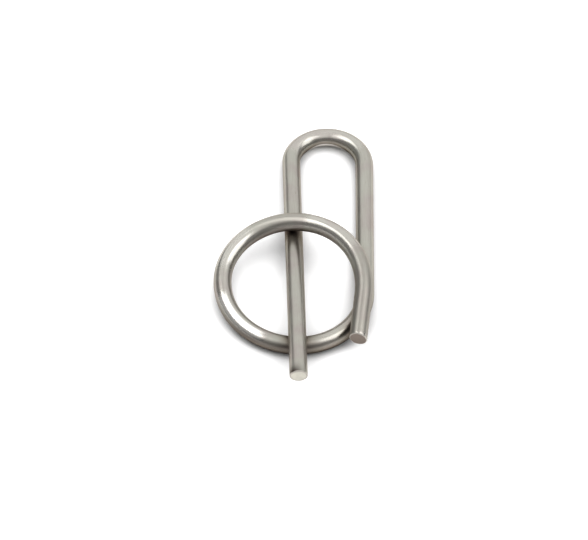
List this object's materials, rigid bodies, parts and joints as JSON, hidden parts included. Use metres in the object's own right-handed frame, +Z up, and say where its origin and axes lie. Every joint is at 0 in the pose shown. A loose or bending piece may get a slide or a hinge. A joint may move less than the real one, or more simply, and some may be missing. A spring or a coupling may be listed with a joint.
{
  "type": "brake pad pin clip",
  "caption": "Spring clip bent from round wire: a straight leg, a hairpin bend and a ring that snaps around a brake pad pin.",
  "frame": {"origin": "centre of the bounding box's bottom face; the table is z = 0", "axes": "+Y from the leg's cut tip along the leg to the far bend, +X towards the back leg, +Z up as the clip lies"},
  "size_m": [0.0147, 0.0304, 0.0049],
  "materials": {
    "spring_steel": "satin"
  },
  "bodies": {
    "root": {"clip_wire": "spring_steel"}
  },
  "joints": []
}
